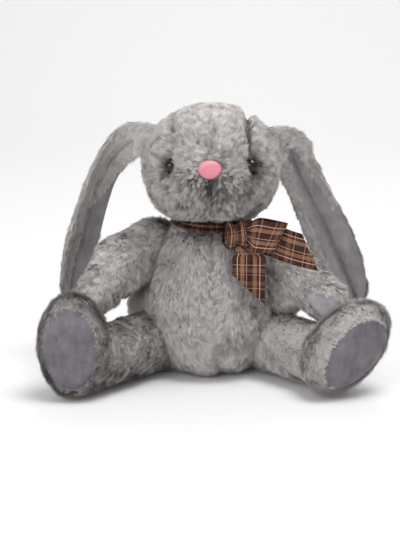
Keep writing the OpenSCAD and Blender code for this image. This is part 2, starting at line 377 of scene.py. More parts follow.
def make_nose():
    n = Nodes("pink_satin_plastic", 0.34, 0.5)
    w = n.place()
    n.colour(n.ramp(n.noise(w, 90, 3), [(0.3, srgb(206, 124, 136)), (0.7, srgb(218, 140, 150))]))
    n.relief(n.noise(w, 900, 2), 0.12, 0.0002)
    n.s.inputs["Coat Weight"].default_value = 0.25
    n.s.inputs["Coat Roughness"].default_value = 0.3
    return n.m


def make_eye():
    n = Nodes("black_glass_plastic", 0.16, 0.3)
    w = n.place()
    n.colour(n.ramp(n.noise(w, 120, 2), [(0.3, srgb(10, 8, 7)), (0.7, srgb(20, 15, 13))]))
    n.s.inputs["Coat Weight"].default_value = 0.3
    n.s.inputs["Coat Roughness"].default_value = 0.05
    return n.m


def make_washer():
    n = Nodes("white_moulded_plastic", 0.9, 0.2)
    f = n.noise(n.place(), 300, 4)
    n.colour(n.ramp(f, [(0.3, srgb(226, 226, 222)), (0.7, srgb(240, 240, 236))]))
    n.relief(f, 0.4, 0.0006)
    return n.m


BACKING = make_backing()
VELBOA = make_velboa("velboa_nap", srgb(78, 74, 80), srgb(130, 126, 133), (1, 1, 0.25))
LINING_VELBOA = make_velboa("velboa_lining", srgb(128, 124, 128), srgb(180, 176, 180), (1, 1, 0.2))
PAD_VELBOA = make_velboa("velboa_pad", srgb(150, 144, 150), srgb(186, 180, 185), (1, 1, 0.4))
PLAID = make_plaid()
NOSE = make_nose()
EYE = make_eye()
WASHER = make_washer()


# ---------------------------------------------------------------- fur

FIBRE_POINTS = 5  # two at the root, two halfway, one at the tip


def planted(verts, faces, density, keep, rng):
    """Random roots on a surface, density of them a square millimetre, with the surface's way out at each."""
    normals = vertex_normals(verts, faces)
    quads = faces.shape[1] == 4
    tri = np.concatenate([faces[:, [0, 1, 2]], faces[:, [0, 2, 3]]]) if quads else faces
    a, b, c = (verts[tri[:, k]] for k in range(3))
    weight = np.linalg.norm(np.cross(b - a, c - a), axis=1) / 2
    if keep is not None:
        weight = weight * keep((a + b + c) / 3)
    count = int(weight.sum() / MM**2 * density)
    t = tri[rng.choice(len(tri), count, p=weight / weight.sum())]
    r1, r2 = np.sqrt(rng.random(count)), rng.random(count)
    shares = [q[:, None] for q in (1 - r1, r1 * (1 - r2), r1 * r2)]
    p = sum(verts[t[:, k]] * shares[k] for k in range(3))
    n = unit(sum(normals[t[:, k]] * shares[k] for k in range(3)))
    return p, n


def wander(p, size, seed):
    """Smooth noise with three parts, each from -0.5 to 0.5."""
    return np.stack([cloud(p, size, seed + k) - 0.5 for k in (1, 2, 3)], 1)


def tufts(p, size, seed):
    """The tuft that each root belongs to, the nearest of some scattered points."""
    count = len(p)
    grid = np.floor(p / size).astype(np.int64)
    best, home = np.full(count, 1e9), np.zeros(count, np.int64)
    steps = (-1, 0, 1)
    for dx, dy, dz in ((x, y, z) for x in steps for y in steps for z in steps):
        g = grid + np.array([dx, dy, dz])
        jitter = np.stack([scatter(g[:, 0], g[:, 1], g[:, 2], seed + q) for q in range(3)], 1)
        d = np.sum((p - (g + jitter) * size) ** 2, axis=1)
        key = (g[:, 0] * 2003 + g[:, 1]) * 2003 + g[:, 2]
        closer = d < best
        best, home = np.where(closer, d, best), np.where(closer, key, home)
    return np.unique(home, return_inverse=True)[1]


def fibre_mesh(name, points, tone, normals):
    """One object with all the fibres; tone picks each one's root and tip material."""
    count = len(points)
    base = np.arange(count) * FIBRE_POINTS
    quads = np.stack([base, base + 1, base + 3, base + 2], 1)
    tris = np.stack([base + 2, base + 3, base + 4], 1)
    loops = np.concatenate([quads.ravel(), tris.ravel()]).astype(np.int32)
    starts = np.concatenate([np.arange(count) * 4, count * 4 + np.arange(count) * 3])
    me = bpy.data.meshes.new(name)
    me.vertices.add(count * FIBRE_POINTS)
    me.vertices.foreach_set("co", points.astype(np.float32).ravel())
    me.loops.add(len(loops))
    me.loops.foreach_set("vertex_index", loops)
    me.polygons.add(count * 2)
    me.polygons.foreach_set("loop_start", starts.astype(np.int32))
    for m in (*FUR_ROOTS, *FUR_TIPS):
        me.materials.append(m)
    slots = np.concatenate([tone, tone + len(FUR_ROOTS)])
    me.polygons.foreach_set("material_index", slots.astype(np.int32))
    me.polygons.foreach_set("use_smooth", np.ones(count * 2, bool))
    me.update(calc_edges=True)
    custom = me.attributes.new("custom_normal", "FLOAT_VECTOR", "POINT")
    spread = np.repeat(normals, FIBRE_POINTS, axis=0)
    custom.data.foreach_set("vector", spread.astype(np.float32).ravel())
    ob = bpy.data.objects.new(name, me)
    bpy.context.scene.collection.objects.link(ob)
    return ob


def fur(name, body, verts, faces, comb, length, seed, lift=(40, 15), keep=None, frost=0.5,
        painted_light=None, ruffle=None):
    """Tapered fibres over a surface, combed and drawn together in tufts.

    Length is in millimetres, or a function that gives it at each root. Lift is how far the root and the
    tip stand up, in degrees. Frost makes the tone paler. The painted light function, given at each root,
    shifts the tone paler or darker, painting light and shade into the fibres. Ruffle, from 0 to 1 at
    each root, stands the fibres up and draws them together more.
    """
    rng = np.random.default_rng(seed)
    density, width, clump, gather = 7.0, 0.38, 2.8, 0.42
    p, n = planted(verts, faces, density, keep, rng)
    count = len(p)
    long = (length(p, n) if callable(length) else np.full(count, float(length))) * MM
    long = long * (0.72 + 0.5 * rng.random(count))
    way = unit(comb(p, n)) + 1.3 * wander(p, 9 * MM, seed + 10) + 1.2 * wander(p, 3.5 * MM, seed + 20)
    way = way + 0.26 * rng.normal(size=(count, 3))
    way = unit(way - n * np.sum(way * n, axis=1, keepdims=True))
    tilt = rng.normal(0, 8, count) + 24 * (cloud(p, 6 * MM, seed + 31) - 0.5)
    rough = np.zeros(count) if ruffle is None else ruffle(p)
    tilt = tilt + 20 * rough
    e0, e1 = np.radians(lift[0] + tilt), np.radians(lift[1] + tilt)
    d0 = n * np.sin(e0)[:, None] + way * np.cos(e0)[:, None]
    d1 = n * np.sin(e1)[:, None] + way * np.cos(e1)[:, None]
    root = p - n * 0.4 * MM
    mid = root + d0 * (long * 0.5)[:, None]
    tip = mid + d1 * (long * 0.5)[:, None]

    home = tufts(p, clump * MM, seed + 41)
    members = np.bincount(home).astype(float)

    def middle(q):
        return np.stack([np.bincount(home, q[:, k]) / members for k in range(3)], 1)[home]

    root_mid, tip_mid, mid_mid = middle(root), middle(tip), middle(mid)
    pull = (gather + 0.35 * rough) * (0.6 + 0.5 * scatter(home, home, home, seed + 51))
    pull = np.clip(pull, 0, 0.92)[:, None]
    stretch = (0.86 + 0.34 * scatter(home, home * 3, home, seed + 52))[:, None]
    tip = tip * (1 - pull) + pull * (tip_mid + (root - root_mid) * 0.2)
    tip = root + (tip - root) * stretch
    mid = mid * (1 - pull * 0.55) + pull * 0.55 * (mid_mid + (root - root_mid) * 0.5)

    twist = rng.uniform(-0.7, 0.7, count)
    along = unit(tip - root)
    s = unit(np.cross(along, n))
    s = s * np.cos(twist)[:, None] + np.cross(along, s) * np.sin(twist)[:, None]
    w = width * MM * (0.7 + 0.6 * rng.random(count))[:, None]
    for q in (tip, mid):
        q[:, 2] = np.maximum(q[:, 2], 0.2 * MM)
    root_w, mid_w = s * w * 0.5, s * w * 0.42
    points = np.stack([root - root_w, root + root_w, mid - mid_w, mid + mid_w, tip], 1)
    shade = 0.55 * scatter(home, home, home * 7, seed + 61) + 0.3 * rng.random(count)
    shade = shade + 0.4 * (cloud(p, 8 * MM, seed + 62) - 0.5)
    # Painted light and shade: the tone is shifted paler or darker at each root.
    if painted_light is not None:
        shade = shade + painted_light(p, n)
    tone = np.digitize(shade, [-0.02, 0.30 + 0.2 * (0.5 - frost), 0.58 + 0.3 * (0.5 - frost)])
    flat = unit(np.cross(s, along))
    flat = flat * np.sign(np.sum(flat * n, axis=1, keepdims=True) + 1e-9)
    normals = unit(n + 0.55 * flat + 0.12 * rng.normal(size=(count, 3)))
    ob = fibre_mesh(name, points, tone, normals)
    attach(ob, body)


def soft(name, body, verts, faces, nodes, material=BACKING):
    """A padded piece that stands for some CAD nodes."""
    ob = new_mesh(name, verts, faces, material)
    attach(ob, body)
    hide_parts(*nodes)


# ---------------------------------------------------------------- head

HEAD_AT, HEAD_R = vec(0, -5, 165.5), vec(53.5, 50, 47)
FACE_Z, EYE_X = 169.0, 29.5
HEAD_INSET = 3.4
SEAM_X = 26.5

# Rounds joined to the skull: middle, radii and the fillet's width. The first two come in pairs.
CHEEK = vec(22, -12, 150), vec(22, 33, 24), 10
MUZZLE = vec(14, -44, 151), vec(16.5, 13.5, 19), 4
CHIN = vec(0, -38, 139), vec(15, 12, 10), 5
BROW = vec(0, -40, 174), vec(15, 12, 13), 6
NECK = vec(0, 0, 132), vec(23, 21, 7), 5


def nearest_of_pair(q, at, shape=(1, 1, 1)):
    """How far q is from at, or from its mirror image if that is nearer."""
    return np.minimum(*[np.linalg.norm((q - mirror(at, s)) / vec(*shape), axis=1) for s in (-1, 1)])


def head_field(p):
    q = p / MM
    x, y, z = q.T
    d = ball_distance(q, HEAD_AT, HEAD_R - HEAD_INSET) + 1.6 * ramp(z, 178, 200)
    for s in (-1, 1):
        for at, radii, fillet in (CHEEK, MUZZLE):
            d = join(d, ball_distance(q, mirror(at, s), radii), fillet)
    for at, radii, fillet in (CHIN, BROW, NECK):
        d = join(d, ball_distance(q, at, radii), fillet)
    front = ramp(-y, 0, 25)
    mouth = bump(x, 0, 2.6) * ramp(z, 136, 150) * (1 - ramp(z, 160, 166)) * front * 3.6
    seam = sum(
        bump(x, s * SEAM_X, 2.2) * ramp(z, 172, 180) * depth for s, depth in ((1, 6.0), (-1, 0.3))
    )
    seam = seam * ramp(-y, -30, -10)
    gusset = 1 - ramp(np.abs(x), SEAM_X - 4, SEAM_X + 1)
    crown = gusset * ramp(z, 190, 204) * -0.4
    band = (1 - ramp(np.abs(x), 22.5, 27)) * ramp(z, 150, 160)
    band = band * (1 - ramp(z, 176, 190 + 8 * np.sign(x))) * ramp(-y, 20, 34) * -4.2
    beside = nearest_of_pair(q, vec(EYE_X + 2, -42, FACE_Z), (1, 1, 1.2))
    cheek = -2.6 * ramp(beside, 5, 8) * (1 - ramp(beside, 12, 24)) * ramp(np.abs(x), 26, 32) * front
    return (d + mouth + seam + crown + band + cheek) * MM


head_v, head_f = wrapped(head_field, HEAD_AT * MM, 0.09)
soft("head", "head", head_v, head_f, ("head_skin", "head_stuffing"))


def head_comb(p, n):
    q = p / MM
    way = unit(q - vec(0, -50, 170)) + vec(0, 0.25, 0)
    low = ramp(-q[:, 2], -168, -140)[:, None]
    parting = np.zeros_like(q)
    for s, strength in ((-1, 0.1), (1, 1.2)):
        gap = q[:, 0] - s * SEAM_X
        parting[:, 0] += np.sign(gap) * bump(gap, 0, 5) * ramp(q[:, 2], 170, 182) * strength
    mouth = bump(q[:, 0], 0, 6) * (1 - ramp(q[:, 2], 156, 166)) * ramp(-q[:, 1], 20, 40)
    parting[:, 0] += np.sign(q[:, 0]) * mouth
    return way + low * vec(0, 0, -0.55) + parting


def head_keep(p):
    """Bare round the eyes and under the nose, thin along the gusset's seams."""
    q = p / MM
    k = np.ones(len(q))
    for s, parted in ((-1, 0.4), (1, 0.97)):
        eye = np.linalg.norm((q - vec(s * (EYE_X + 2.2), -44, FACE_Z)) / vec(3.9, 12, 5.6), axis=1)
        k *= 1 - 0.96 * (eye < 1)
        k *= 1 - parted * bump(q[:, 0], s * SEAM_X, 1.5) * ramp(q[:, 2], 174, 184)
    nose = np.linalg.norm((q - vec(-0.6, -55, FACE_Z - 1.5)) / vec(8.6, 20, 7.0), axis=1)
    return k * (1 - 0.98 * (nose < 1))


def head_length(p, n):
    q = p / MM
    near_nose = np.linalg.norm(q - vec(0, -53, 166), axis=1)
    near_eye = nearest_of_pair(q, vec(EYE_X, -46.5, FACE_Z))
    near_seam = np.abs(q[:, 0] - SEAM_X) + 30 * (q[:, 2] < 174)
    shorter = 3.4 * (1 - ramp(near_nose, 7, 22)) + 0.2 * (1 - ramp(near_eye, 6, 14))
    shorter = shorter + 1.6 * ramp(q[:, 2], 182, 200)
    return 7.0 - shorter - 2.2 * (1 - ramp(near_seam, 1, 5))


def head_painted_shading(p, n):
    """Painted light and shade in the fibres' tone: darker in the muzzle, painted shade in the eye sockets, the
    mouth, the seams and the lower front of the face, and paler on the crown where the top light falls.
    """
    q = p / MM
    front = ramp(-q[:, 1], 15, 35)
    muzzle = np.linalg.norm((q - vec(0, -46, 150)) / vec(34, 30, 24), axis=1)
    t = -0.12 - 0.10 * (1 - ramp(muzzle, 0.5, 1.25)) - 0.12 * (1 - ramp(q[:, 2], 160, 185)) * front
    for s, parted in ((-1, 0.25), (1, 1.1)):
        at = vec(s * (EYE_X + 0.5), -46.5, FACE_Z - 1)
        socket = np.linalg.norm((q - at) / vec(6.5, 12, 10), axis=1)
        t -= 0.75 * (1 - ramp(socket, 0.45, 1.15))
        t -= parted * bump(q[:, 0], s * SEAM_X, 1.9) * ramp(q[:, 2], 172, 178)
    mouth = 0.4 * bump(q[:, 0], 0, 2.4) * ramp(-q[:, 1], 35, 45)
    t -= mouth * ramp(q[:, 2], 140, 150) * (1 - ramp(q[:, 2], 158, 164))
    return t + 0.12 * ramp(q[:, 2], 188, 204)


def head_ruffle(p):
    q = p / MM
    return 1 - ramp(np.linalg.norm((q - vec(0, -46, 152)) / vec(34, 30, 26), axis=1), 0.6, 1.2)


fur("head_fur", "head", head_v, head_f, head_comb, head_length, 3, keep=head_keep, frost=0.6,
    painted_light=head_painted_shading, ruffle=head_ruffle)


def make_nose_piece():
    """A moulded nose: a soft triangle with its wide side up, domed, with a rolled edge."""
    centre = vec(-1.4, -55.4, FACE_Z - 0.9)
    half_wide, half_tall, dome = 9.0, 7.1, 6.4
    rows, cols = 16, 64
    pts = [centre + vec(0, -dome, 0)]
    for i in range(1, rows + 1):
        r = math.sin(i / rows * math.pi / 2) if i < rows else 1.0
        for j in range(cols):
            t = 2 * math.pi * j / cols
            c, h = math.cos(t), math.sin(t)
            wide = half_wide * (1 - 0.20 * max(0.0, -h) ** 1.3)
            x = wide * math.copysign(abs(c) ** 0.88, c) * r
            sag = 0.35 * (x / half_wide) ** 2 if h > 0 else 0
            z = half_tall * math.copysign(abs(h) ** 0.94, h) * r - sag
            y = -dome * math.sqrt(max(0.0, 1 - (i / rows) ** 2.6)) + (0.9 if i == rows else 0)
            pts.append(centre + vec(x, y, z))
    faces = [np.array([0, 1 + (j + 1) % cols, 1 + j]) for j in range(cols)]
    for i in range(rows - 1):
        for j in range(cols):
            p0, p1 = 1 + i * cols + j, 1 + i * cols + (j + 1) % cols
            faces.append(np.array([p0, p1, p1 + cols, p0 + cols]))
    ob = new_mesh("nose_dome", np.array(pts) * MM, faces, NOSE)
    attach(ob, "head")
    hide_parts("nose")


make_nose_piece()


# ---------------------------------------------------------------- body

BODY_R, WIDE_Z, LOW_H, HIGH_H = 52.0, 47.0, 54.3, 89.0
BODY_INSET = 4.0
NECK_Z, FLOOR_GAP = 113, 2.5
HAUNCH = vec(42, 14, 45), vec(20, 18, 20), 8


def body_field(p):
    q = p / MM
    x, y, z = q.T
    low, high = (
        ball_distance(q, vec(0, 0, WIDE_Z), vec(BODY_R, BODY_R, h) - BODY_INSET) for h in (LOW_H, HIGH_H)
    )
    d = np.where(z < WIDE_Z, low, high)
    at, radii, fillet = HAUNCH
    for s in (-1, 1):
        d = join(d, ball_distance(q, mirror(at, s), radii), fillet)
    d = cut(d, z - NECK_Z, 6)
    d = cut(d, FLOOR_GAP - z, 9)
    front = ramp(-y, 5, 30)
    seam = bump(x, 1.0, 2.4) * front * ramp(z, 8, 24) * (1 - ramp(z, 100, 112)) * 2.8
    lobe = bump(x, 9, 5) * ramp(-z, -34, -12) * front * 3.5
    return (d + seam + lobe) * MM


body_v, body_f = wrapped(body_field, vec(0, 0, 50) * MM, 0.1)
soft("body", "torso", body_v, body_f, ("body_skin", "body_stuffing", "pellet_bag"))


def body_comb(p, n):
    q = p / MM
    front = ramp(-q[:, 1], 0, 25)
    way = np.tile(vec(0, 0, -1.0), (len(q), 1))
    way[:, 0] = -np.sign(q[:, 0] - 1.0) * 0.75 * front * (1 - 0.6 * ramp(q[:, 2], 60, 100))
    return way


def above_floor(p):
    return ramp(p[:, 2] / MM, 1.5, 6)


def body_painted_shading(p, n):
    """Painted light and shade in the fibres' tone: paler overall and paler still to the rabbit's right, where
    light falls, with painted shade in the seam and to its left.
    """
    x, y, z = (p / MM).T
    seam = 0.7 * bump(x, 1.0, 1.8) * ramp(-y, 10, 25)
    return 0.12 + 0.2 * ramp(-x, 5, 40) - seam - 0.12 * ramp(x, 10, 40)


def body_ruffle(p):
    return 0.55 * ramp(-p[:, 1] / MM, 10, 35)


fur("body_fur", "torso", body_v, body_f, body_comb, 7.8, 5, keep=above_floor, frost=0.55,
    painted_light=body_painted_shading, ruffle=body_ruffle)

TAIL_AT, TAIL_R = vec(0, 58, 35), vec(14, 12, 14)


def tail_field(p):
    return ball_distance(p / MM, TAIL_AT, TAIL_R) * MM


def tail_comb(p, n):
    return unit(p / MM - vec(0, 50, 42)) + vec(0, 0.3, -0.4)


tail_v, tail_f = wrapped(tail_field, TAIL_AT * MM, 0.04, 5)
soft("tail_pad", "torso", tail_v, tail_f, ("tail",))
fur("tail_fur", "torso", tail_v, tail_f, tail_comb, 8.5, 7, lift=(60, 40))


# ---------------------------------------------------------------- arms

# Shoulder, elbow and wrist, and the way that the paw's pad faces.
ARMS = {
    "left": (vec(42.5, 2, 99), vec(66, -18, 79), vec(86.5, -36, 65), vec(-0.20, -0.97, -0.10)),
    "right": (vec(-44, 2, 103), vec(-70, -13, 89.5), vec(-89, -36, 65), vec(0.60, -0.10, -0.79)),
}


def pad_disc(name, body, spot, across, up, out, half, bow, material, node, dome, point=0.0):
    """A sewn patch of velboa, crowned in the middle and tucked in at its edge."""
    rows, cols = 18, 72
    pts = [spot + out * dome]
    for i in range(1, rows + 1):
        r = i / rows
        for j in range(cols):
            t = 2 * math.pi * j / cols
            shape = 1 + point * math.cos(3 * t)
            u, w = half[0] * r * shape * math.sin(t), half[1] * r * shape * math.cos(t)
            u *= 1 - bow * math.cos(t)
            rise = dome * (1 - r ** 2.6) - 2.2 * r ** 7
            crease = 0.28 * math.sin(u * 0.35 + w * 0.12) + 0.2 * math.sin(w * 0.4 - u * 0.2)
            pts.append(spot + across * u + up * w + out * (rise + crease * (1 - r ** 4)))
    pts = np.array(pts) * MM
    pts[:, 2] = np.maximum(pts[:, 2], 0.5 * MM)
    faces = [np.array([0, 1 + j, 1 + (j + 1) % cols]) for j in range(cols)]
    for i in range(rows - 1):
        for j in range(cols):
            p0, p1 = 1 + i * cols + j, 1 + i * cols + (j + 1) % cols
            faces.append(np.array([p0, p0 + cols, p1 + cols, p1]))
    soft(name, body, pts, faces, (node,), material)


ARM_R, ELBOW_R, WRIST_R, PAD_OUT = 14.5, 15.8, 14.0, 12.6


def make_arm(word):
    a, elbow, b, pad = ARMS[word]
    side = SIDE[word]
    pad = unit(pad)
    run = unit(b - elbow)

    def field(p):
        q = p / MM
        upper = limb_distance(q, a, elbow, ARM_R, ELBOW_R)
        d = join(upper, limb_distance(q, elbow, b, ELBOW_R, WRIST_R), 6)
        sag = a * 0.32 + elbow * 0.68 + vec(-4 * side, 4, -21)
        d = join(d, ball_distance(q, sag, vec(15, 17, 18)), 12)
        return cut(d, (q - b) @ pad - PAD_OUT, 4) * MM

    v, f = wrapped(field, elbow * MM, 0.09)
    body = "arm_" + word
    soft(body, body, v, f, ("arm_skin_" + word, "arm_stuffing_" + word))
    spot = b + pad * PAD_OUT
    up = unit(-run - pad * (-run @ pad))
    across = np.cross(up, pad)

    def off_pad(p):
        q = p / MM - spot
        u, w = q @ across / 8.0, q @ up / 12.2
        return np.where((u * u + w * w < 1) & (q @ pad > -6), 0.0, 1.0)

    def comb(p, n):
        q = p / MM
        t = ramp((q - a) @ unit(b - a), 20, 50)[:, None]
        return unit(elbow - a) * (1 - t) + run * t + vec(0, 0, -0.3)

    # Painted light: the arms' fibres take a paler tone throughout, as if more brightly lit.
    fur("arm_fur_" + word, body, v, f, comb, 7.0, 11 if word == "left" else 12, keep=off_pad,
        painted_light=lambda p, n: np.full(len(p), 0.12), ruffle=lambda p: np.full(len(p), 0.35))
    pad_disc("pad_" + word, body, spot, across, up, pad, (9.6, 14.4), 0.28, PAD_VELBOA,
             "paw_pad_" + word, dome=1.4, point=0.05)


for word in SIDE:
    make_arm(word)


# ---------------------------------------------------------------- legs, feet and soles

HIP = vec(40, -4, 25.5)
HIP_R, ANKLE_R = 25.5, 24.0
LEG_INSET = 4.2
# The middle of each foot, the way that its sole faces, and its way up.
FEET = {
    "left": (vec(100, -77, 38.5), vec(0.40, -0.90, -0.17), vec(0.62, 0.15, 0.77)),
    "right": (vec(-102, -82, 41.2), vec(-0.12, -0.99, 0), vec(0, 0, 1)),
}
FOOT_HALF = vec(27.5, 30, 41)
SOLE_HALF = vec(21, 32)
SOLE_DEPTH = 15.0


def foot_axes(sole_way, up):
    """The foot's own axes: sideways, back from the sole, and up."""
    f = -unit(sole_way)
    u = unit(up - f * (up @ f))
    return np.cross(f, u), f, u


def make_leg(word):
    foot, sole_way, foot_up = FEET[word]
    side = SIDE[word]
    start = mirror(HIP, side)
    level = vec(foot[0], foot[1], HIP[2])
    end = start + 0.82 * (level - start)
    s, f, u = foot_axes(sole_way, foot_up)

    def field(p):
        q = p / MM
        local = np.stack([(q - foot) @ way for way in (s, f, u)], 1)
        leg = limb_distance(q, start, end, HIP_R - LEG_INSET, ANKLE_R - LEG_INSET)
        toes = ball_distance(local, vec(0, 0, 0), FOOT_HALF - LEG_INSET)
        d = join(leg, toes, 9)
        d = cut(d, -(local[:, 1] + SOLE_DEPTH - 1.0), 4)
        d = cut(d, FLOOR_GAP - q[:, 2], 3)
        return d * MM

    heart = (foot + f * 10 + (start - foot) * 0.12) * MM
    v, g = wrapped(field, heart, 0.14, 6)
    v = relaxed(v, g, 2)
    body = "leg_" + word
    soft(body, body, v, g, ("leg_skin_" + word, "leg_stuffing_" + word))
    front = foot - f * SOLE_DEPTH

    def keep(p):
        q = p / MM - front
        a, b, c = q @ s / (SOLE_HALF[0] - 1.0), q @ u / (SOLE_HALF[1] - 1.0), q @ f
        ragged = 1 + 0.16 * (cloud(p, 2.5 * MM, 77) - 0.5)
        return np.where((a * a + b * b < ragged) & (c < 4), 0.0, 1.0) * ramp(p[:, 2] / MM, 1.0, 4)

    def comb(p, n):
        local = p / MM - foot
        ahead = -(local @ f)
        near, rim = ramp(ahead, -26, 0)[:, None], ramp(ahead, 8, 14)[:, None]
        out = unit(local - np.outer(local @ f, f))
        way = unit(end - start) * (1 - near)
        return way + near * (-f * (1 - rim) + rim * (-out * 0.4 - f)) + vec(0, 0, -0.2)

    def length(p, n):
        return 7.2 - 3.0 * ramp(-((p / MM - foot) @ f), 4, 13)

    # Painted light: the left leg's fibres paler and the right leg's darker, as light falls on them.
    fur("leg_fur_" + word, body, v, g, comb, length, 21 + side, keep=keep,
        painted_light=lambda p, n: np.full(len(p), 0.24 + 0.34 * side))
    pad_disc("sole_" + word, body, front, s, u, -f, SOLE_HALF, -0.05, VELBOA,
             "foot_sole_" + word, dome=3.4)


for word in SIDE:
    make_leg(word)


# ---------------------------------------------------------------- ears

# From root to tip: the middle, the share of the full width, and the way of the outer edge.
EARS = {
    "left": [
        ((38, -8, 181), .60, (-.10, -.30, .95)), ((52, -4, 180), .70, (-.05, -.30, .95)),
        ((62, 2, 175), .70, (.15, -.30, .93)), ((68, 10, 158), .80, (.70, -.25, .50)),
        ((78, 16, 135), .84, (.93, -.22, .25)), ((91, 21, 108), .92, (.93, -.22, .25)),
        ((102, 24, 82), .92, (.94, -.22, .22)), ((111, 25, 60), .74, (.95, -.22, .15)),
        ((117, 24, 44), .30, (.95, -.22, .15)),
    ],
    "right": [
        ((-38, -8, 182), .60, (.10, -.30, .95)), ((-52, -4, 183), .70, (.05, -.30, .95)),
        ((-62, 2, 181), .72, (-.10, -.40, .90)), ((-75, 10, 168), .80, (-.50, -.60, .45)),
        ((-87, 16, 146), .94, (-.55, -.80, .10)), ((-96, 21, 120), 1.0, (-.58, -.81, 0)),
        ((-103, 24, 94), 1.0, (-.60, -.80, 0)), ((-109, 25, 68), .80, (-.62, -.78, 0)),
        ((-112, 24, 46), .30, (-.62, -.78, 0)),
    ],
}
# The lining's two edges, across the ear from the inner edge (-1) to the outer (+1), at shares of its
# length; fur rims cover the rest.
LINING = {
    "left": [
        (0.20, -0.60, 0.20), (0.30, -0.62, 0.45), (0.45, -0.64, 0.75),
        (0.60, -0.68, 0.97), (1.0, -0.85, 0.97),
    ],
    "right": [
        (0.42, -0.95, -0.92), (0.50, -0.95, -0.66), (0.59, -0.95, -0.05),
        (0.72, -0.95, 0.20), (0.85, -0.95, 0.45), (1.0, -0.95, 0.65),
    ],
}
EAR_W = 45.0
EAR_STEPS = 9


def eased(values, steps):
    """A smooth row of values through the given ones."""
    out = []
    last = len(values) - 1
    for i in range(last):
        a, b, c, d = values[max(0, i - 1)], values[i], values[i + 1], values[min(last, i + 2)]
        for j in range(steps):
            t = j / steps
            square = (2 * a - 5 * b + 4 * c - d) * t * t
            out.append(0.5 * (2 * b + (c - a) * t + square + (3 * b - a - 3 * c + d) * t ** 3))
    out.append(values[-1])
    return np.array(out)


def make_ear(word):
    table = EARS[word]
    side = SIDE[word]
    body = "ear_" + word
    path = eased([vec(*t[0]) for t in table], EAR_STEPS)
    share = eased([t[1] for t in table], EAR_STEPS)
    outer = eased([vec(*t[2]) for t in table], EAR_STEPS)
    rows, ring = len(path), 56
    run = unit(np.vstack([path[1:2] - path[0:1], path[2:] - path[:-2], path[-1:] - path[-2:-1]]))
    across = unit(outer - run * np.sum(outer * run, axis=1, keepdims=True))
    face = side * np.cross(run, across)
    along = np.linspace(0, 1, rows)
    half = EAR_W * share / 2 - 3.5
    cup = 5.5 * ramp(along, 0.05, 0.3) * (1 - 0.5 * ramp(along, 0.75, 1.0))

    start, low, high = np.array(LINING[word]).T
    first = int(np.searchsorted(along, start[0]))
    low, high = np.interp(along, start, low), np.interp(along, start, high)

    def sheet_point(i, v, off):
        w = half[i] * v
        curl = cup[i] * abs(v) ** 2.4 - cup[i] * 0.45
        crease = -3.4 * math.exp(-((v + 0.36 - 0.3 * along[i]) / 0.13) ** 2) * ramp(along[i], 0.1, 0.3)
        crease += 0.9 * math.exp(-((v - 0.35) / 0.3) ** 2) + 0.5 * math.sin(along[i] * 19 + v * 4) * (1 - v * v)
        return path[i] + across[i] * w + face[i] * (curl + crease + off)

    back, lining = [], []
    for i in range(rows):
        for k in range(ring):
            t = 2 * math.pi * k / ring
            v, h = math.cos(t), math.sin(t)
            off = 1.3 * abs(h) ** 0.7 * (1 if h > 0 else -1.5)
            back.append(sheet_point(i, v, off))
    back = np.array(back) * MM
    faces = []
    for i in range(rows - 1):
        for k in range(ring):
            a, b = i * ring + k, i * ring + (k + 1) % ring
            faces.append((a, b, b + ring, a + ring) if side > 0 else (a, a + ring, b + ring, b))
    faces = np.array(faces)
    skin = [np.array(q) for q in faces]
    cap = np.arange(ring)[::-side]
    skin += [cap, cap[::-1] + (rows - 1) * ring]
    soft(body, body, back, skin, ("ear_back_" + word,))

    cols = 30
    for i in range(rows):
        for j in range(cols + 1):
            v = low[i] + (high[i] - low[i]) * j / cols
            lining.append(sheet_point(i, v, 1.3 * (1 - v * v) ** 0.35 + 0.6))
    lining = np.array(lining) * MM
    quads = []
    for i in range(first, rows - 2):
        for j in range(cols):
            a = i * (cols + 1) + j
            q = (a, a + 1, a + cols + 2, a + cols + 1)
            quads.append(q[::-1] if side > 0 else q)
    soft("ear_lining_sheet_" + word, body, lining, quads, ("ear_lining_" + word,),
         LINING_VELBOA)

    order = np.repeat(np.arange(rows), ring)
    angle = np.tile(np.arange(ring), rows) / ring * 2 * math.pi
    v_of, h_of = np.cos(angle), np.sin(angle)
    rim_low, rim_high = (low - 0.3 * (low < -0.9))[order], (high + 0.3 * (high > 0.9))[order]
    open_face = (h_of > -0.25) & (v_of > rim_low + 0.04) & (v_of < rim_high - 0.04) & (order > first)
    usable = np.array([not open_face[list(q)].all() for q in faces])

    def nearest_row(p):
        x_gap, z_gap = (np.abs(p[:, None, k] / MM - path[None, :, k]) for k in (0, 2))
        return np.argmin(z_gap + 0.5 * x_gap, axis=1)

    # Painted light: both ears' fibres take paler tones, the right ear's more than the left's, as light falls on
    # them.
    fur("ear_fur_" + word, body, back, faces[usable], lambda p, n: run[nearest_row(p)] + vec(0, 0, -0.2),
        5.6, 31 + side, lift=(34, 10), frost=0.6,
        painted_light=lambda p, n: np.full(len(p), 0.34 - 0.1 * side))


for word in SIDE:
    make_ear(word)


# ---------------------------------------------------------------- ribbon

RIBBON_W = 25.0
TRIM_ROWS = 6


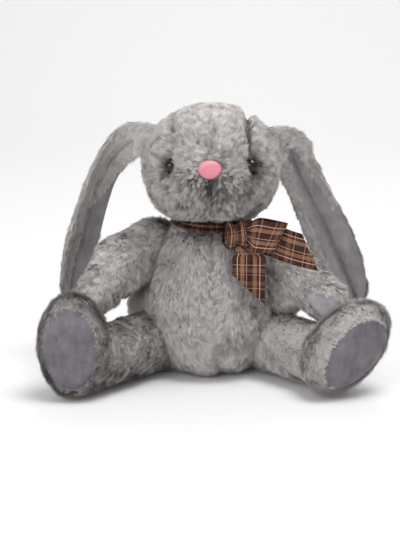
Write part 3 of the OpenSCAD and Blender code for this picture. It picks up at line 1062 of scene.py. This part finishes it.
def ribbon(name, body, strip, node, waves, slant=(0.0, 0.0), v0=0.0):
    """A strip of ribbon along a row of centre points, gathered where squeeze is high.

    Slant is how far each edge runs past the last centre point, and v0 where the plaid starts.
    """
    centre, across, squeeze = strip
    rows, cols = len(centre), 20
    centre, across = np.array(centre, float), unit(np.array(across, float))
    gaps = np.linalg.norm(np.diff(centre, axis=0), axis=1)
    run_at = np.concatenate([[0], np.cumsum(gaps)])
    run = unit(np.gradient(centre, axis=0))
    normal = unit(np.cross(run, across))
    verts, uvs = [], []
    for i in range(rows):
        wide = RIBBON_W * (1 - 0.62 * squeeze[i])
        part = max(0, i - (rows - TRIM_ROWS)) / (TRIM_ROWS - 1)
        for j in range(cols + 1):
            w = j / cols - 0.5
            ripple = math.cos(w * 2 * math.pi * waves + 0.7) * (0.35 + 2.1 * squeeze[i])
            trim = (slant[0] + (slant[1] - slant[0]) * (w + 0.5)) * part
            verts.append(centre[i] + across[i] * w * wide + normal[i] * ripple + run[i] * trim)
            uvs.append((w + 0.5, v0 + (run_at[i] + trim) / RIBBON_W))
    corners = [i * (cols + 1) + j for i in range(rows - 1) for j in range(cols)]
    faces = np.array([(k, k + 1, k + cols + 2, k + cols + 1) for k in corners])
    ob = new_mesh(name, np.array(verts) * MM, faces, PLAID)
    layer = ob.data.uv_layers.new(name="weave")
    layer.data.foreach_set("uv", np.array(uvs, np.float32)[faces.ravel()].ravel())
    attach(ob, body)
    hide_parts(node)


# Each strip gives its centre points, the ways across it there, and how far it is gathered, from 0 to 1.

KNOT = vec(17, -43, 116)
LOOP_AT, LOOP_OUT = vec(22, -46, 118.5), 30
FRONT_DROP, SIDE_OUT = 22, 44


def loop_strip():
    """Out to the side and back, turned and sloped a little."""
    strip, n = [], 44
    turn, slope = math.radians(-8), math.tan(math.radians(14)) * 0.5
    for i in range(n):
        a = i / (n - 1) * 2 * math.pi
        x = LOOP_OUT * (0.5 - 0.5 * math.cos(a))
        y = -5.2 * math.sin(a) * (0.55 + 0.45 * math.sin(a / 2))
        at = vec(x * math.cos(turn) - y * math.sin(turn), x * math.sin(turn) + y * math.cos(turn), -slope * x)
        strip.append((LOOP_AT + at, vec(0.05 + 0.42 * ramp(x, 6, 24), 0, 1), 0.9 * (1 - ramp(x, 2, 13))))
    return zip(*strip)


def knot_strip():
    """Wrapped once round the roots of the loop and tails."""
    strip, n = [], 40
    for i in range(n):
        a = 2 * math.pi * i / (n - 1)
        at = vec(3.5 * math.cos(a) * 0.6 + 1.5, -8.5 * math.cos(a), 9.5 * math.sin(a))
        strip.append((KNOT + at, vec(1, 0.1, 0.15), 0.55 + 0.08 * math.sin(3 * a)))
    return zip(*strip)


def band_strip():
    """Once round the neck, gathered narrow."""
    strip, n = [], 96
    for i in range(n):
        a = 2 * math.pi * i / (n - 1) - math.pi / 2 + 0.4
        r = 29.5 + 0.5 * math.sin(5 * a)
        at = vec(r * math.cos(a), r * math.sin(a), 117.5 + 1.0 * math.sin(2 * a + 1))
        strip.append((at, vec(0.12 * math.cos(a), 0.12 * math.sin(a), 1), 0.92))
    return zip(*strip)


def front_tail_strip():
    """Hangs down in front."""
    strip, n = [], 30
    for i in range(n):
        t = i / (n - 1)
        at = vec(22 + 6 * ramp(t, 0, 0.3), -49.5 - 3.2 * math.sin(t * 2.2), 108.5 - t * FRONT_DROP)
        strip.append((at, vec(1, 0.05, 0.03 - 0.1 * t), 0.9 * (1 - ramp(t, 0.0, 0.4))))
    return zip(*strip)


def side_tail_strip():
    """Lies out to the side, over the arm."""
    strip, n = [], 34
    turn, drop = math.radians(13), math.radians(13.5)
    way = unit(vec(math.cos(turn), -math.sin(turn), -math.tan(drop)))
    for i in range(n):
        t = i / (n - 1)
        s = SIDE_OUT * t
        at = vec(24, -39.0, 117) + way * s + vec(0, 0.6 * math.sin(t * 7), 1.0 * math.sin(t * 5))
        strip.append((at, vec(0.16, 0.04 * math.sin(t * 4), 1), 0.85 * (1 - ramp(s, 3, 16))))
    return zip(*strip)


ribbon("bow_loop", "torso", loop_strip(), "ribbon_loop", 2.2)
ribbon("bow_knot", "torso", knot_strip(), "ribbon_knot", 2.0)
ribbon("neck_band", "torso", band_strip(), "neck_ribbon", 2.4)
ribbon("bow_tail_front_strip", "bow_tail_front", front_tail_strip(), "ribbon_tail_front",
       1.5, slant=(0.0, 23.0), v0=0.3)
ribbon("bow_tail_side_strip", "bow_tail_side", side_tail_strip(), "ribbon_tail_side",
       1.7, slant=(17.0, 0.0), v0=0.1)


# ---------------------------------------------------------------- parts kept from the CAD

def finish_node(node, material):
    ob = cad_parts[node]
    ob.data.materials.clear()
    ob.data.materials.append(material)
    for poly in ob.data.polygons:
        poly.use_smooth = True


finish_node("nose_washer", WASHER)
finish_node("neck_plug", BACKING)
for word in SIDE:
    finish_node("eye_" + word, EYE)
    finish_node("eye_washer_" + word, WASHER)


# ---------------------------------------------------------------- floor, light and camera

TARGET = vec(-0.0085, -0.010, 0.084)
ELEVATION = math.radians(13)
DISTANCE = 1.5
FOCAL_MM, SENSOR_MM = 131.6, 36


def make_floor():
    """A studio sweep: a flat floor that curves up into a wall."""
    near, back, bend, top, half_wide = -2.5, 1.0, 0.6, 3.5, 4.0
    curve = [
        (back + bend * math.sin(a), bend - bend * math.cos(a)) for a in np.radians(np.arange(10, 91, 10))
    ]
    rows = [(near, 0.0), (back, 0.0), *curve, (back + bend, top)]
    verts = np.array([(x, y, z) for y, z in rows for x in (-half_wide, half_wide)])
    faces = np.array([(2 * i, 2 * i + 1, 2 * i + 3, 2 * i + 2) for i in range(len(rows) - 1)])
    ob = new_mesh("studio_floor", verts, faces, plain("studio_floor", (0.8, 0.8, 0.8, 1), 0.9))


make_floor()


def area_light(name, at, aim, size, power, colour=(1, 1, 1)):
    """A square light, size metres across and power watts."""
    data = bpy.data.lights.new(name, "AREA")
    data.energy = power
    data.size = size
    data.color = colour
    ob = bpy.data.objects.new(name, data)
    ob.location = at
    ob.rotation_mode = "QUATERNION"
    ob.rotation_quaternion = (Vector(aim) - Vector(at)).to_track_quat("-Z", "Y")
    bpy.context.scene.collection.objects.link(ob)


area_light("key_light", (0.35, -0.35, 1.55), (0, 0, 0.1), 0.8, 17.0, (1.0, 0.99, 0.98))
area_light("fill_light", (-0.9, -1.4, 0.75), (0, 0, 0.08), 1.0, 11.0)
area_light("back_light", (0.1, 1.1, 1.2), (0, 0, 0.12), 0.8, 5.0)

world = bpy.data.worlds.new("studio_air")
world.use_nodes = True
world.node_tree.nodes["Background"].inputs["Color"].default_value = (1, 1, 1, 1)
world.node_tree.nodes["Background"].inputs["Strength"].default_value = 0.55
bpy.context.scene.world = world
bpy.context.scene.view_settings.view_transform = "Standard"

lens = bpy.data.cameras.new("camera")
lens.sensor_width = SENSOR_MM
lens.lens = FOCAL_MM
lens.clip_end = 20
camera = bpy.data.objects.new("camera", lens)
camera.location = TARGET + DISTANCE * vec(0, -math.cos(ELEVATION), math.sin(ELEVATION))
camera.rotation_mode = "QUATERNION"
camera.rotation_quaternion = (Vector(TARGET) - camera.location).to_track_quat("-Z", "Y")
bpy.context.scene.collection.objects.link(camera)
bpy.context.scene.camera = camera
